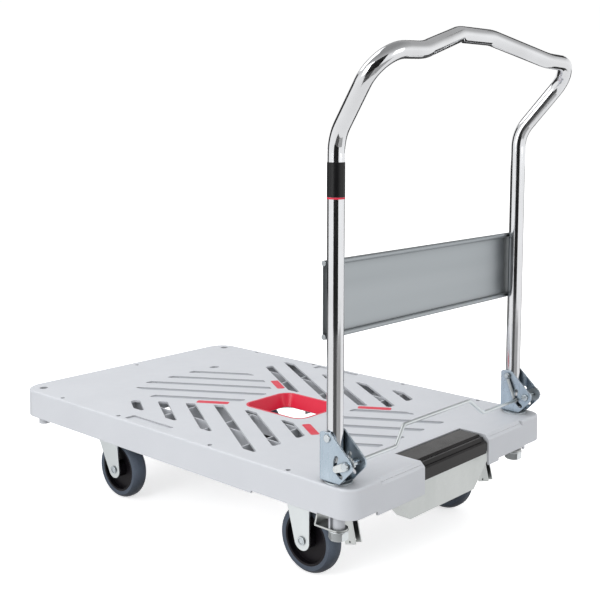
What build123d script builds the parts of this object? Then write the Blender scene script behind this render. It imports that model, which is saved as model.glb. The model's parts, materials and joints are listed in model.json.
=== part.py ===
from build123d import *

import os
from math import cos, radians, sin, tan

# Folding platform cart: a moulded deck on two fixed and two swivel castors, a tube
# handle that folds down over the deck, a foot-wire latch and a foot brake.
# Cart frame: +X away from the handle, +Y left, +Z up, the floor at Z = 0, the origin
# in the middle of the cart's length and width.
# Places on the deck are measured from the centre of its top face; level(), section(),
# crosswise() and spot() carry them to the cart frame.

# ------------------------------------------------------------ driving dimensions (mm)
edge_break = 0.8
clearance = 0.3          # free gap between faces of pieces that move past each other
running_gap = 0.4        # between the post and the cam beside it
running = 0.05           # radial clearance of a shaft in its bore
cut_over = 1.0           # of a cut past the faces that it opens

# deck moulding
deck_length = 942.0
deck_width = 602.0
deck_depth = 57.0
far_corner_r = 45.0
near_corner_r = 30.0      # at the handle end
deck_edge_r = 3.5
deck_draft = 1.0         # degrees
deck_wall = 4.0
plate_t = 5.0
rib_t = 3.0
rib_depth = 38.0
rib_sink = 1.0           # of the ribs into the skirt
rib_pitch_x = 128.0
rib_pitch_y = 92.0
rib_shift_x = -40.0
pad_depth = 51.5         # deck top to castor plate

# diagonal pattern of the deck top
stripe_tilt = 32.0       # degrees
stripe_pitch = 63.5      # along Y
slot_width = 19.5
slot_end_r = 4.0
stripe_least = 160.0     # smallest core of a stripe that is kept, mm2
pocket_least = 30.0
field_margin = 38.0      # pattern to the deck's side
strap_margin = 66.0
slot_near_x = -220.0
slot_far_x = 205.0
slot_ledge_near = 110.0  # length of the wide parts beside the strap recesses
slot_ledge_far = 33.0
groove_inset_near = 109.0
groove_inset_far = 169.0
left_slot_first = 6.0    # first stripe of each field, on the lengthwise middle line of its row
right_slot_first = 77.0
far_groove_first = 22.0
near_groove_first = 55.0
left_slot_count = 7
right_slot_count = 6
far_groove_count = 6
near_groove_count = 5
left_inner_y = (87.0, 195.0)   # inner edges of the fields, from the deck's middle
left_turn_x = 25.0
right_inner_y = (80.0, 125.0)
right_turn_x = -145.0
far_field_x = (35.0, 152.0)
far_field_right_y = (49.0, 122.0)
far_field_left_y = (132.0, 165.0)
near_field_x = -175.0
near_field_right_y = 120.0
near_field_left_y = (26.0, 143.0)
groove_width = 17.0
groove_depth = 2.0
pocket_length = 16.0     # deeper end of each far groove
pocket_depth = 3.6
accent_length = 68.0
accent_width = 17.0
accent_depth = 1.6
accent_proud = 0.3
accent_out_x = 137.0
accent_out_y = 97.0

# hand grip opening
grip_shift_x = -65.0
grip_length = 160.0
grip_width = 132.0
grip_corner_r = 25.0
grip_depth = 27.0
grip_rim = 3.0
grip_rim_t = 1.2
grip_wall = 3.0
grip_taper = 20.0        # degrees

# corner bosses, small edge holes, strap recesses
boss_r = 12.0
boss_bore_r = 9.0
hinge_boss_r = 11.0
hinge_fin_out = 15.0     # fin from the hinge boss towards the skirt
hinge_fin_dx = 7.0
boss_depth = 78.0
far_bore_inset_x = 41.0
far_bore_inset_y = 31.0
edge_hole_r = 4.5
edge_hole_depth = 9.0
edge_hole_inset = 12.0
edge_hole_near_x = (-325.0, -130.0)
edge_hole_far_x = (138.0, 330.0)
strap_recess_length = 122.0
strap_recess_width = 24.0
strap_recess_depth = 3.0
strap_recess_x = 58.0
strap_recess_inset = 24.0
gusset_length = 65.0
side_relief_length = 224.0   # raised foot of the skirt near the hinges
side_relief_h = 4.0
corner_relief_length = 71.0
corner_relief_h = 6.5
corner_relief_y = 231.0
hand_notch_y = -181.0    # finger notch in the foot of the end skirt
hand_notch_width = 90.0
hand_notch_h = 5.0
relief_room = 1.0        # cuts in the skirt's foot past its inner face
end_bevel = 10.0
end_bevel_half = 222.0

# castors
wheel_r = 62.5
wheel_width = 33.0
wheel_inset = 95.0       # wheel from the deck's side
tread_width = 6.0
rim_r = 48.0
rim_width = 30.0
rim_t = 4.0
hub_r = 17.0
hub_width = 40.0
bearing_r = 13.0
bearing_width = 8.0
axle_r = 6.0
axle_head_r = 8.0
axle_head_h = 2.5
axle_dish_r = 5.5
axle_dish_h = 0.9
axle_nut_af = 16.0
axle_nut_h = 5.0
castor_height = 160.0    # floor to the top of the mounting plate
castor_plate_length = 110.0
castor_plate_width = 90.0
castor_plate_t = 4.0
castor_bolt_dx = 80.0
castor_bolt_dy = 70.0
castor_bolt_r = 4.0
castor_head_af = 13.0
castor_head_h = 5.0
castor_screw_length = 16.0
fork_t = 3.0
fork_inside = 44.0
fork_tip_r = 17.5
fork_top_length = 60.0
crown_r = 28.0
crown_setback = 8.0
crown_tail = 30.0
leg_forward = 20.0
fixed_inset = 169.0      # fixed axle from the handle end of the deck
swivel_inset = 193.0     # swivel axis from the far end of the deck
swivel_trail = 43.0
race_r = 30.0
race_h = 7.0
race_chamfer = 2.0
kingpin_r = 7.0
kingpin_nut_af = 21.0
kingpin_nut_h = 7.0

# handle
tube_r = 14.0
tube_wall = 2.0
post_inset = 56.0
post_side_inset = 27.0   # post from the deck's side
post_bottom = 33.5
lean_start = 556.0
lean_x = 104.0
shoulder_out = 26.0      # the handle widens by this above the posts
shoulder_z = 686.0
bar_y = 190.0
bar_z = 690.0
bump_y = 49.0
bump_z = 724.0
bump_x = 30.0
lean_bend_r = 70.0
shoulder_bend_r = 55.0
bar_bend_r = 90.0
bump_bend_r = 60.0
band_bottom = 462.0
band_height = 55.0
band_t = 0.6
ring_height = 3.0
panel_bottom = 231.0
panel_top = 360.0
panel_past_post = 8.0    # panel's ends past the posts' centres
panel_t = 1.2
panel_roll_r = 4.5
plug_depth = 14.0

# hinge brackets and latch
pivot_z = 75.0
rivet_r = 4.0
rivet_head_r = 7.0
rivet_head_h = 2.5
rivet_head_taper = 20.0  # degrees
bracket_t = 3.0
bracket_top_r = 10.0
bracket_top_dx = -2.0
bracket_fold_r = 3.0
bracket_corner_r = 8.0
bracket_foot_r = 2.0
bracket_back = 23.0      # foot of the bracket behind the post's centre
inner_gap = 0.5          # post to inner side plate
outer_gap = 2.2          # post to outer side plate
web_gap = 0.5
web_top = 52.0
disc_r = 23.5
disc_t = 3.0
disc_seat = 0.8          # shallow seat of the disc in the deck
latch_dx = -39.0         # latch pivot from the handle pivot
latch_dz = -38.0
latch_r = 13.0
latch_arm = 22.0
latch_rest_angle = -24.0  # degrees, of the wire round the latch rivet
latch_slot_low = -62.0
latch_slot_high = 25.0
wire_r = 3.25
wire_slot = 8.0
wire_inner_y = 137.0
wire_rise_y = 102.0
wire_rise_z = 57.0
wire_rise_dx = 9.0
wire_bend_r = 12.0
cam_t = 1.5
cam_r = 17.0
cam_teeth = 5
cam_tooth_pitch = 15.0   # degrees
cam_tooth_h = 2.0
cam_start = 100.0        # degrees
cam_rim = 3.0
cam_hub_r = 12.0
link_t = 1.9
link_rim = 2.2
spring_r = 3.5
spring_turns = 9
spring_ring_t = 1.4
spring_sink = 0.2        # spring body into its eyes
spring_groove = 0.8      # root of a turn over its crest
hinge_bolt_dx = -6.5     # hinge bolt from the post's centre
hinge_bolt_dy = -2.0
hinge_bolt_r = 8.0
hinge_bolt_af = 24.0
hinge_nut_af = 29.0
hinge_bolt_head_h = 7.0
hinge_nut_h = 14.0
washer_r = 16.0
washer_t = 2.5
hinge_bolt_end = 2.0
tie_t = 3.0
tie_half = 16.0
tie_top_half = 10.0
tie_forward = 39.0       # bolt to the tie plate's riser
tie_flange = 32.0
tie_screw_x = 18.0

# pedal, brake bar and housing
bay_depth = 66.0
bay_half = 101.0
bay_wall = 4.0
bay_back_depth = 14.0
pedal_half = 97.0
pedal_t = 3.5
pedal_drop = 34.0
pedal_top_gap = 1.5
pedal_room = (3.0, 2.0)  # nose to the deck's end, back to the bay's wall
pedal_back_share = 0.4
pedal_edge_r = 2.0
pedal_steps = [(18.0, 1.5), (15.0, 5.0), (9.0, 5.0), (6.0, 11.0), (2.0, 11.0), (0.0, 14.0)]
arm_y = 60.0
arm_t = 6.0
arm_ring_r = 9.5
arm_room = 4.0
arm_notch = 14.0
arm_seat = (26.0, 18.0)
arm_seat_inset = 36.0
bar_inset = 89.0
bar_depth = 49.0
bar_r = 6.0
bar_past_wheel = 16.0    # bar's ends past the wheels' middles
bearing_y = 160.0
bearing_block = (30.0, 12.0, 18.0)
bearing_pad_depth = 40.0
bearing_margin = (4.0, 6.0)
bearing_corner_r = 4.0
shoe_half = 8.5
shoe_t = 2.5
shoe_lean = 15.0         # degrees, foot towards the handle end
shoe_ring_r = 9.0
shoe_back = 7.0
shoe_front = 16.5
shoe_reach = 85.0
shoe_foot = 6.0
shoe_hole_r = 2.0
shoe_hole_place = (5.0, 4.5)   # from the shoe's middle line and its foot
housing_inset = 31.0
housing_t = 2.0
housing_top = 36.0
housing_notch = 48.0
housing_neck_half = 92.0
housing_shoulder_half = 150.0
housing_wide_half = 155.0
housing_foot_half = 100.0
housing_bottom = 111.0
housing_flange = 30.0
housing_side_top = 2.8   # slanted side flange, measured along Y
housing_side_foot = 0.8
housing_ear_y = 130.0
housing_ear_x = 46.0
housing_ear_width = 36.0
bay_room = 1.5
screw_r = 3.0
screw_head_r = 6.0
screw_head_h = 3.0
small_boss_r = 9.0

# ------------------------------------------------------------ places that follow from them
deck_top = castor_height + pad_depth
handle_overhang = lean_x + tube_r - post_inset
deck_shift = handle_overhang / 2
end_x = deck_length / 2
side_y = deck_width / 2
axle_z = wheel_r - deck_top
wheel_y = side_y - wheel_inset
bar_half = wheel_y + bar_past_wheel
post_x = post_inset - end_x
post_y = side_y - post_side_inset
panel_half = post_y + panel_past_post
latch_x = post_x + latch_dx
latch_z = pivot_z + latch_dz
wire_x = latch_x + latch_arm * cos(radians(latch_rest_angle))
wire_z = latch_z + latch_arm * sin(radians(latch_rest_angle))
inner_plate_y = post_y - tube_r - inner_gap - bracket_t      # inner face of the inner plate
outer_plate_y = post_y + tube_r + outer_gap                  # inner face of the outer plate
bracket_mid_y = (inner_plate_y + bracket_t + outer_plate_y) / 2
web_x = post_x + tube_r + web_gap
front_x = web_x + bracket_t                                  # front edge of the side plates
disc_top = disc_t - disc_seat
bracket_floor = disc_top + bracket_t
bolt_x = post_x + hinge_bolt_dx
bolt_y = post_y + hinge_bolt_dy
fixed_x = fixed_inset - end_x
swivel_x = end_x - swivel_inset
trail_x = swivel_x - swivel_trail
bar_x = bar_inset - end_x
bar_zc = -bar_depth
housing_x = housing_inset - end_x
grip_x = grip_shift_x
far_bore_x = end_x - far_bore_inset_x
far_bore_y = side_y - far_bore_inset_y
tie_screw_place = bolt_x + tie_forward + tie_screw_x
castor_top = -pad_depth
castor_plate_bottom = castor_top - castor_plate_t
sides = {"left": 1, "right": -1}


def level(z=0.0):
    """Horizontal plane, z above the deck's top face."""
    return Plane((deck_shift, 0, deck_top + z))


def section(y=0.0):
    """Upright lengthwise plane at y: local x along the cart, local y upwards, normal -Y."""
    return Plane((deck_shift, y, deck_top), x_dir=(1, 0, 0), z_dir=(0, -1, 0))


def crosswise(x=0.0):
    """Upright crosswise plane at x: local x along +Y, local y upwards, normal +X."""
    return Plane((deck_shift + x, 0, deck_top), x_dir=(0, 1, 0), z_dir=(1, 0, 0))


def spot(x, y, z):
    """A point given from the centre of the deck's top face, in the cart frame."""
    return (deck_shift + x, y, deck_top + z)


def finish(part, name):
    """Label a finished piece and write its STEP file."""
    part.label = name
    export_step(part, f"parts/{name}.step")


os.makedirs("parts", exist_ok=True)


# ------------------------------------------------------------ deck
def deck_outline(inset=0.0):
    """Plan of the deck moved in by inset, tighter at the two corners of the handle end."""
    with BuildSketch() as plan:
        Rectangle(deck_length - 2 * inset, deck_width - 2 * inset)
        fillet(plan.vertices().group_by(Axis.X)[0], radius=near_corner_r - inset)
        fillet(plan.vertices().group_by(Axis.X)[-1], radius=far_corner_r - inset)
    return plan.sketch


def stripe_field(first, count, tilt, width, region, least=stripe_least):
    """Parallel stripes with rounded corners, one pitch apart along Y, inside a region."""
    with BuildSketch() as bounds:
        with BuildLine():
            Polyline(*region, close=True)
        make_face()
        offset(amount=-slot_end_r, kind=Kind.INTERSECTION, mode=Mode.REPLACE)
    with BuildSketch() as core:
        for number in range(count):
            with Locations((0, first + number * stripe_pitch)):
                Rectangle(2 * deck_length, width - 2 * slot_end_r, rotation=tilt)
        add(bounds.sketch, mode=Mode.INTERSECT)
    with BuildSketch(level()) as field:
        for face in core.faces().filter_by(lambda stripe: stripe.area > least):
            add(face)
        offset(amount=slot_end_r, mode=Mode.REPLACE)
    return field.sketch


field_y = side_y - field_margin
strap_y = side_y - strap_margin
groove_near_x = groove_inset_near - end_x
groove_far_x = end_x - groove_inset_far
far_row = far_groove_first - (far_groove_count - 1) * stripe_pitch
right_row = -right_slot_first - (right_slot_count - 1) * stripe_pitch
left_slots = stripe_field(left_slot_first, left_slot_count, -stripe_tilt, slot_width, [
    (slot_near_x, left_inner_y[0]), (left_turn_x, left_inner_y[0]),
    (slot_far_x, left_inner_y[1]), (slot_far_x, field_y),
    (slot_far_x - slot_ledge_far, field_y), (slot_far_x - slot_ledge_far, strap_y),
    (slot_near_x + slot_ledge_near, strap_y), (slot_near_x + slot_ledge_near, field_y),
    (slot_near_x, field_y)])
right_slots = stripe_field(right_row, right_slot_count, -stripe_tilt, slot_width, [
    (slot_far_x, -right_inner_y[0]), (right_turn_x, -right_inner_y[0]),
    (slot_near_x, -right_inner_y[1]), (slot_near_x, -field_y),
    (slot_near_x + slot_ledge_far, -field_y), (slot_near_x + slot_ledge_far, -strap_y),
    (slot_far_x - slot_ledge_near, -strap_y), (slot_far_x - slot_ledge_near, -field_y),
    (slot_far_x, -field_y)])
far_grooves = stripe_field(far_row, far_groove_count, stripe_tilt, groove_width, [
    (far_field_x[0], -far_field_right_y[0]), (far_field_x[1], -far_field_right_y[1]),
    (groove_far_x, -far_field_right_y[1]), (groove_far_x, far_field_left_y[0]),
    (slot_far_x, far_field_left_y[0]), (slot_far_x, far_field_left_y[1]),
    (far_field_x[0], far_field_left_y[1])])
far_pockets = stripe_field(far_row, far_groove_count, stripe_tilt, groove_width, [
    (groove_far_x - pocket_length, -far_field_right_y[1]), (groove_far_x, -far_field_right_y[1]),
    (groove_far_x, far_field_left_y[0]), (groove_far_x - pocket_length, far_field_left_y[0])],
    least=pocket_least)
near_grooves = stripe_field(near_groove_first, near_groove_count, stripe_tilt, groove_width, [
    (groove_near_x, -near_field_right_y), (near_field_x, -near_field_right_y),
    (near_field_x, near_field_left_y[0]), (groove_near_x, near_field_left_y[1])])

accent_places = [
    (grip_x + along * accent_out_x, across * accent_out_y, along * across * stripe_tilt)
    for along in (1, -1) for across in (1, -1)]
edge_holes = [
    (x, across * (side_y - edge_hole_inset))
    for x in edge_hole_near_x + edge_hole_far_x for across in (1, -1)]
edge_holes.append((end_x - 2 * edge_hole_inset, 0))
pad_xs = (fixed_x, swivel_x)
pad_places = [(x, across * wheel_y) for x in pad_xs for across in (1, -1)]
castor_bolt_places = [
    (x + along * castor_bolt_dx / 2, y + across * castor_bolt_dy / 2)
    for x, y in pad_places for along in (1, -1) for across in (1, -1)]
hinge_places = [(bolt_x, across * bolt_y) for across in (1, -1)]
far_bore_places = [(far_bore_x, across * far_bore_y) for across in (1, -1)]
tie_boss_places = [(tie_screw_place, across * bolt_y) for across in (1, -1)]
ear_places = [(housing_ear_x - end_x, across * housing_ear_y) for across in (1, -1)]
bearing_places = [(bar_x, across * bearing_y) for across in (1, -1)]

with BuildPart() as deck:
    # skirted shell with drafted walls
    with BuildSketch(level(-deck_depth)):
        add(deck_outline())
    extrude(amount=deck_depth, taper=deck_draft)
    fillet(deck.edges().group_by(Axis.Z)[-1], radius=deck_edge_r)
    with BuildSketch(level(-deck_depth)):
        add(deck_outline(deck_wall))
    extrude(amount=deck_depth - plate_t, taper=deck_draft, mode=Mode.SUBTRACT)

    # rib grid under the plate
    with BuildSketch(level(-plate_t)):
        for number in range(-3, 4):
            with Locations((rib_shift_x + number * rib_pitch_x, 0)):
                Rectangle(rib_t, deck_width - 2 * (deck_wall - rib_sink))
        for number in range(-2, 3):
            with Locations((0, number * rib_pitch_y)):
                Rectangle(deck_length - 2 * (deck_wall - rib_sink), rib_t)
    extrude(amount=plate_t - rib_depth)

    # walls round the grip opening and the pedal bay
    with BuildSketch(level(-plate_t)):
        with Locations((grip_x, 0)):
            RectangleRounded(
                grip_length + 2 * grip_wall, grip_width + 2 * grip_wall, grip_corner_r + grip_wall)
        for across in (1, -1):
            wall_y = across * (bay_half + bay_wall / 2)
            with Locations(((deck_wall + bay_depth) / 2 - end_x, wall_y)):
                Rectangle(bay_depth, bay_wall)
    extrude(amount=-grip_depth)
    with BuildSketch(level(-plate_t)):
        with Locations((-end_x + bay_depth + bay_wall / 2, 0)):
            Rectangle(bay_wall, 2 * (bay_half + bay_wall))
    extrude(amount=plate_t - bay_back_depth)

    # castor pads: a frame with a column for each plate bolt
    with BuildSketch(level(-plate_t)):
        with Locations(*pad_places):
            Rectangle(castor_plate_length, castor_plate_width)
            Rectangle(castor_plate_length - 2 * deck_wall, castor_plate_width - 2 * deck_wall,
                      mode=Mode.SUBTRACT)
            Rectangle(castor_plate_length, rib_t)
        with Locations(*castor_bolt_places):
            Circle(small_boss_r)
    extrude(amount=plate_t - pad_depth)

    # corner bosses with their gussets, and the small bosses under the deck
    with BuildSketch(level(-plate_t)):
        with Locations(*far_bore_places):
            Circle(boss_r)
        with Locations(*hinge_places):
            Circle(hinge_boss_r)
        for across in (1, -1):
            with Locations((bolt_x + hinge_fin_dx, across * (bolt_y + hinge_fin_out / 2))):
                Rectangle(rib_t, hinge_fin_out)
    extrude(amount=plate_t - boss_depth)
    with BuildSketch(level(-plate_t)):
        with Locations(*tie_boss_places):
            Circle(small_boss_r)
    extrude(amount=plate_t - deck_depth)
    with BuildSketch(level(-plate_t)):
        with Locations(*ear_places):
            Circle(small_boss_r)
        with Locations(*bearing_places):
            Rectangle(bearing_block[0] + bearing_margin[0], bearing_block[1] + bearing_margin[1])
    extrude(amount=plate_t - bearing_pad_depth)

    # gussets of the two far bosses
    for across in (1, -1):
        with BuildSketch(section(across * far_bore_y)):
            with BuildLine():
                Polyline(
                    (far_bore_x, -plate_t), (far_bore_x - gusset_length, -plate_t),
                    (far_bore_x - gusset_length, -deck_depth), (far_bore_x - boss_bore_r, -boss_depth),
                    (far_bore_x, -boss_depth), close=True)
            make_face()
        extrude(amount=rib_t / 2, both=True)

    # openings: grip, pedal bay, diagonal slots
    with BuildSketch(level()):
        with Locations((grip_x, 0)):
            RectangleRounded(grip_length, grip_width, grip_corner_r)
        with Locations((-end_x + bay_depth / 2 - deck_wall, 0)):
            Rectangle(bay_depth + 2 * deck_wall, 2 * bay_half)
    extrude(amount=-deck_depth, mode=Mode.SUBTRACT)
    extrude(left_slots, amount=-plate_t, mode=Mode.SUBTRACT)
    extrude(right_slots, amount=-plate_t, mode=Mode.SUBTRACT)

    # shallow grooves, accent seats, grip rim seat, strap recesses
    extrude(far_grooves, amount=-groove_depth, mode=Mode.SUBTRACT)
    extrude(far_pockets, amount=-pocket_depth, mode=Mode.SUBTRACT)
    extrude(near_grooves, amount=-groove_depth, mode=Mode.SUBTRACT)
    with BuildSketch(level()):
        for x, y, turn in accent_places:
            with Locations((x, y)):
                RectangleRounded(accent_length, accent_width, slot_end_r, rotation=turn)
    extrude(amount=-accent_depth, mode=Mode.SUBTRACT)
    with BuildSketch(level()):
        with Locations((grip_x, 0)):
            RectangleRounded(
                grip_length + 2 * grip_rim, grip_width + 2 * grip_rim, grip_corner_r + grip_rim)
    extrude(amount=-grip_rim_t, mode=Mode.SUBTRACT)
    with BuildSketch(level()):
        for across in (1, -1):
            with Locations((strap_recess_x, across * (side_y - strap_recess_inset))):
                RectangleRounded(strap_recess_length, strap_recess_width, slot_end_r)
    extrude(amount=-strap_recess_depth, mode=Mode.SUBTRACT)

    # holes: corner bores through their bosses, small edge holes, blind screw seats
    with BuildSketch(level()):
        with Locations(*far_bore_places):
            Circle(boss_bore_r)
        with Locations(*hinge_places):
            Circle(hinge_bolt_r)
    extrude(amount=-boss_depth, mode=Mode.SUBTRACT)
    with BuildSketch(level()):
        with Locations(*hinge_places):
            Circle(disc_r + clearance)
    extrude(amount=-disc_seat, mode=Mode.SUBTRACT)
    with BuildSketch(level()):
        with Locations(*edge_holes):
            Circle(edge_hole_r)
    extrude(amount=-edge_hole_depth, mode=Mode.SUBTRACT)
    with BuildSketch(level(-pad_depth)):
        with Locations(*castor_bolt_places):
            Circle(castor_bolt_r)
    extrude(amount=castor_screw_length, mode=Mode.SUBTRACT)

    # raised foot of the skirt round the hinges, deeper at the two corners
    for length, from_y, rise in (
            (side_relief_length, side_y - near_corner_r, side_relief_h),
            (corner_relief_length, corner_relief_y, corner_relief_h)):
        with BuildSketch(level(-deck_depth)):
            with Locations((-end_x, side_y), (-end_x, -side_y)):
                Rectangle(2 * length, 2 * (side_y - from_y))
            add(deck_outline(deck_wall + relief_room), mode=Mode.SUBTRACT)
        extrude(amount=rise, mode=Mode.SUBTRACT)
    # finger notch in the foot of the handle end's skirt
    with BuildSketch(level(-deck_depth)):
        with Locations((-end_x, hand_notch_y)):
            Rectangle(2 * (deck_wall + relief_room), hand_notch_width)
    extrude(amount=hand_notch_h, mode=Mode.SUBTRACT)

    # bevel along the handle end's top edge, beside the pedal bay
    with BuildSketch(section()):
        with BuildLine():
            Polyline((-end_x - cut_over, cut_over), (end_bevel - end_x + cut_over, cut_over),
                     (-end_x - cut_over, -end_bevel - cut_over), close=True)
        make_face()
    extrude(amount=end_bevel_half, both=True, mode=Mode.SUBTRACT)
finish(deck.part, "deck")

# ------------------------------------------------------------ grip insert and accent bars
with BuildPart() as grip_insert:
    with BuildSketch(level(-grip_rim_t)):
        with Locations((grip_x, 0)):
            RectangleRounded(
                grip_length + 2 * grip_rim, grip_width + 2 * grip_rim, grip_corner_r + grip_rim)
    extrude(amount=grip_rim_t + accent_proud)
    with BuildSketch(level(-grip_rim_t)):
        with Locations((grip_x, 0)):
            RectangleRounded(grip_length, grip_width, grip_corner_r)
    extrude(amount=grip_rim_t - grip_depth, taper=grip_taper)
    with BuildSketch(level(accent_proud)):
        with Locations((grip_x, 0)):
            RectangleRounded(
                grip_length - grip_rim, grip_width - grip_rim, grip_corner_r - grip_rim / 2)
    extrude(amount=-grip_depth - accent_proud, taper=grip_taper, mode=Mode.SUBTRACT)
finish(grip_insert.part, "grip_insert")

with BuildPart() as accent_bars:
    with BuildSketch(level(-accent_depth)):
        for x, y, turn in accent_places:
            with Locations((x, y)):
                RectangleRounded(accent_length, accent_width, slot_end_r, rotation=turn)
    extrude(amount=accent_depth + accent_proud)
finish(accent_bars.part, "accent_bars")


# ------------------------------------------------------------ castors
def wheel_plane(x, y):
    """Plane through a wheel's axle: local x is the radius (upwards), local y along +Y."""
    return Plane(spot(x, y, axle_z), x_dir=(0, 0, 1), z_dir=(-1, 0, 0))


def make_tyre(x, y):
    """Tyre with a rounded crown and sharp shoulders."""
    side = wheel_width / 2
    shoulder = (wheel_r + rim_r) / 2
    crown = (wheel_r, -tread_width / 2)
    with BuildPart() as tyre:
        with BuildSketch(wheel_plane(x, y)):
            with BuildLine():
                Line((rim_r, -rim_width / 2), (shoulder, -side))
                TangentArc(crown, (shoulder, -side), tangent=(0, -1))
                Line(crown, (wheel_r, 0))
                Line((wheel_r, 0), (rim_r, 0))
                Line((rim_r, 0), (rim_r, -rim_width / 2))
            make_face()
            mirror(about=Plane.XZ)
        revolve(axis=Axis(spot(x, y, axle_z), (0, 1, 0)))
    return tyre.part


def make_rim(x, y):
    """Rim with a dished web, a barrel and a hub bored for two bearings."""
    with BuildPart() as rim:
        with BuildSketch(wheel_plane(x, y)):
            with Locations((rim_r - rim_t / 2, 0)):
                Rectangle(rim_t, rim_width)
            with Locations(((rim_r - rim_t + bearing_r) / 2, 0)):
                Rectangle(rim_r - rim_t - bearing_r, 2 * rim_t)
            with Locations(((hub_r + bearing_r) / 2, 0)):
                Rectangle(hub_r - bearing_r, hub_width)
        revolve(axis=Axis(spot(x, y, axle_z), (0, 1, 0)))
    return rim.part


def make_bearings(x, y):
    """The two bearings of one wheel, flush with the hub's ends."""
    offset_y = (hub_width - bearing_width) / 2
    with BuildPart() as bearings:
        with BuildSketch(wheel_plane(x, y)):
            with Locations(((bearing_r + axle_r + running) / 2, offset_y),
                           ((bearing_r + axle_r + running) / 2, -offset_y)):
                Rectangle(bearing_r - axle_r - running, bearing_width)
        revolve(axis=Axis(spot(x, y, axle_z), (0, 1, 0)))
    return bearings.part


def make_axle(x, y, out):
    """Axle bolt, its dished head outside and its nut inside; out is +1 or -1 along Y."""
    reach = fork_inside / 2 + fork_t
    head_y = y + out * (reach + axle_head_h)
    with BuildPart() as axle:
        for radius, depth, mode in (
                (axle_r, axle_head_h + 2 * reach + axle_nut_h, Mode.ADD),
                (axle_head_r, axle_head_h, Mode.ADD),
                (axle_dish_r, axle_dish_h, Mode.SUBTRACT)):
            with BuildSketch(section(head_y)):
                with Locations((x, axle_z)):
                    Circle(radius)
            extrude(amount=out * depth, mode=mode)
        with BuildSketch(section(y - out * reach)):
            with Locations((x, axle_z)):
                RegularPolygon(axle_nut_af / 2, 6, major_radius=False)
        extrude(amount=out * axle_nut_h)
    return axle.part


def make_castor_plate(x, y):
    """Mounting plate with four bolt holes, as a sketch."""
    with BuildSketch(level(castor_top)) as outline:
        with Locations((x, y)):
            RectangleRounded(castor_plate_length, castor_plate_width, 2 * castor_plate_t)
            with GridLocations(castor_bolt_dx, castor_bolt_dy, 2, 2):
                Circle(castor_bolt_r, mode=Mode.SUBTRACT)
    return outline.sketch


def make_fixed_fork(x, y):
    """Fixed fork: mounting plate with two tapered legs."""
    leg_y = fork_inside / 2
    with BuildPart() as fork:
        extrude(make_castor_plate(x, y), amount=-castor_plate_t)
        for side in (1, -1):
            with BuildSketch(section(y + side * (leg_y + fork_t / 2))):
                with Locations((x, axle_z)):
                    Circle(fork_tip_r)
                with Locations((x - fork_tip_r, castor_plate_bottom)):
                    Rectangle(fork_top_length, 2 * fork_t, align=(Align.MIN, Align.MAX))
                make_hull()
                with Locations((x, axle_z)):
                    Circle(axle_r, mode=Mode.SUBTRACT)
            extrude(amount=fork_t / 2, both=True)
        with BuildSketch(section(y)):
            with Locations((x - fork_tip_r, castor_plate_bottom)):
                Rectangle(fork_top_length, fork_t, align=(Align.MIN, Align.MAX))
        extrude(amount=leg_y, both=True)
    return fork.part


def make_swivel_plate(x, y):
    """Top plate of a swivel castor with its ball race housing and the kingpin's seat."""
    with BuildPart() as plate:
        extrude(make_castor_plate(x, y), amount=-castor_plate_t)
        with BuildSketch(level(castor_plate_bottom)):
            with Locations((x, y)):
                Circle(race_r)
        extrude(amount=-race_h)
        chamfer(plate.edges().group_by(Axis.Z)[0], length=race_chamfer)
        with BuildSketch(level(castor_top)):
            with Locations((x, y)):
                Circle(kingpin_r)
        extrude(amount=-castor_plate_t - race_h, mode=Mode.SUBTRACT)
    return plate.part


def make_kingpin(x, y):
    """Kingpin, flush in the top plate, with its nut under the fork."""
    crown_bottom = castor_plate_bottom - race_h - clearance - fork_t
    with BuildPart() as kingpin:
        with BuildSketch(level(castor_top)):
            with Locations((x, y)):
                Circle(kingpin_r)
        extrude(amount=crown_bottom - clearance - castor_top)
        with BuildSketch(level(crown_bottom - clearance)):
            with Locations((x, y)):
                RegularPolygon(kingpin_nut_af / 2, 6, major_radius=False)
        extrude(amount=-kingpin_nut_h)
    return kingpin.part


def make_swivel_fork(x, y):
    """Swivel fork: a crown under the race, and two legs that trail back to the axle."""
    crown_top = castor_plate_bottom - race_h - clearance
    leg_y = fork_inside / 2
    back = x - swivel_trail - fork_tip_r + crown_setback
    with BuildPart() as fork:
        with BuildSketch(level(crown_top)):
            with Locations((x, y)):
                Circle(crown_r)
            with Locations((back, y)):
                Rectangle(crown_tail, fork_inside + 2 * fork_t, align=(Align.MIN, Align.CENTER))
            make_hull()
            with Locations((x, y)):
                Circle(kingpin_r + running, mode=Mode.SUBTRACT)
        extrude(amount=-fork_t)
        for side in (1, -1):
            with BuildSketch(section(y + side * (leg_y + fork_t / 2))):
                with Locations((x - swivel_trail, axle_z)):
                    Circle(fork_tip_r)
                with Locations((back, crown_top)):
                    Rectangle(x + leg_forward - back, 2 * fork_t, align=(Align.MIN, Align.MAX))
                make_hull()
                with Locations((x - swivel_trail, axle_z)):
                    Circle(axle_r, mode=Mode.SUBTRACT)
            extrude(amount=fork_t / 2, both=True)
    return fork.part


for side_name, side in sides.items():
    y = side * wheel_y
    for place, x in (("fixed", fixed_x), ("swivel", trail_x)):
        finish(make_tyre(x, y), f"{place}_tyre_{side_name}")
        finish(make_rim(x, y), f"{place}_rim_{side_name}")
        finish(make_bearings(x, y), f"{place}_bearings_{side_name}")
        finish(make_axle(x, y, side), f"{place}_axle_{side_name}")
    finish(make_fixed_fork(fixed_x, y), f"fixed_fork_{side_name}")
    finish(make_swivel_plate(swivel_x, y), f"swivel_plate_{side_name}")
    finish(make_kingpin(swivel_x, y), f"kingpin_{side_name}")
    finish(make_swivel_fork(swivel_x, y), f"swivel_fork_{side_name}")

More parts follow.
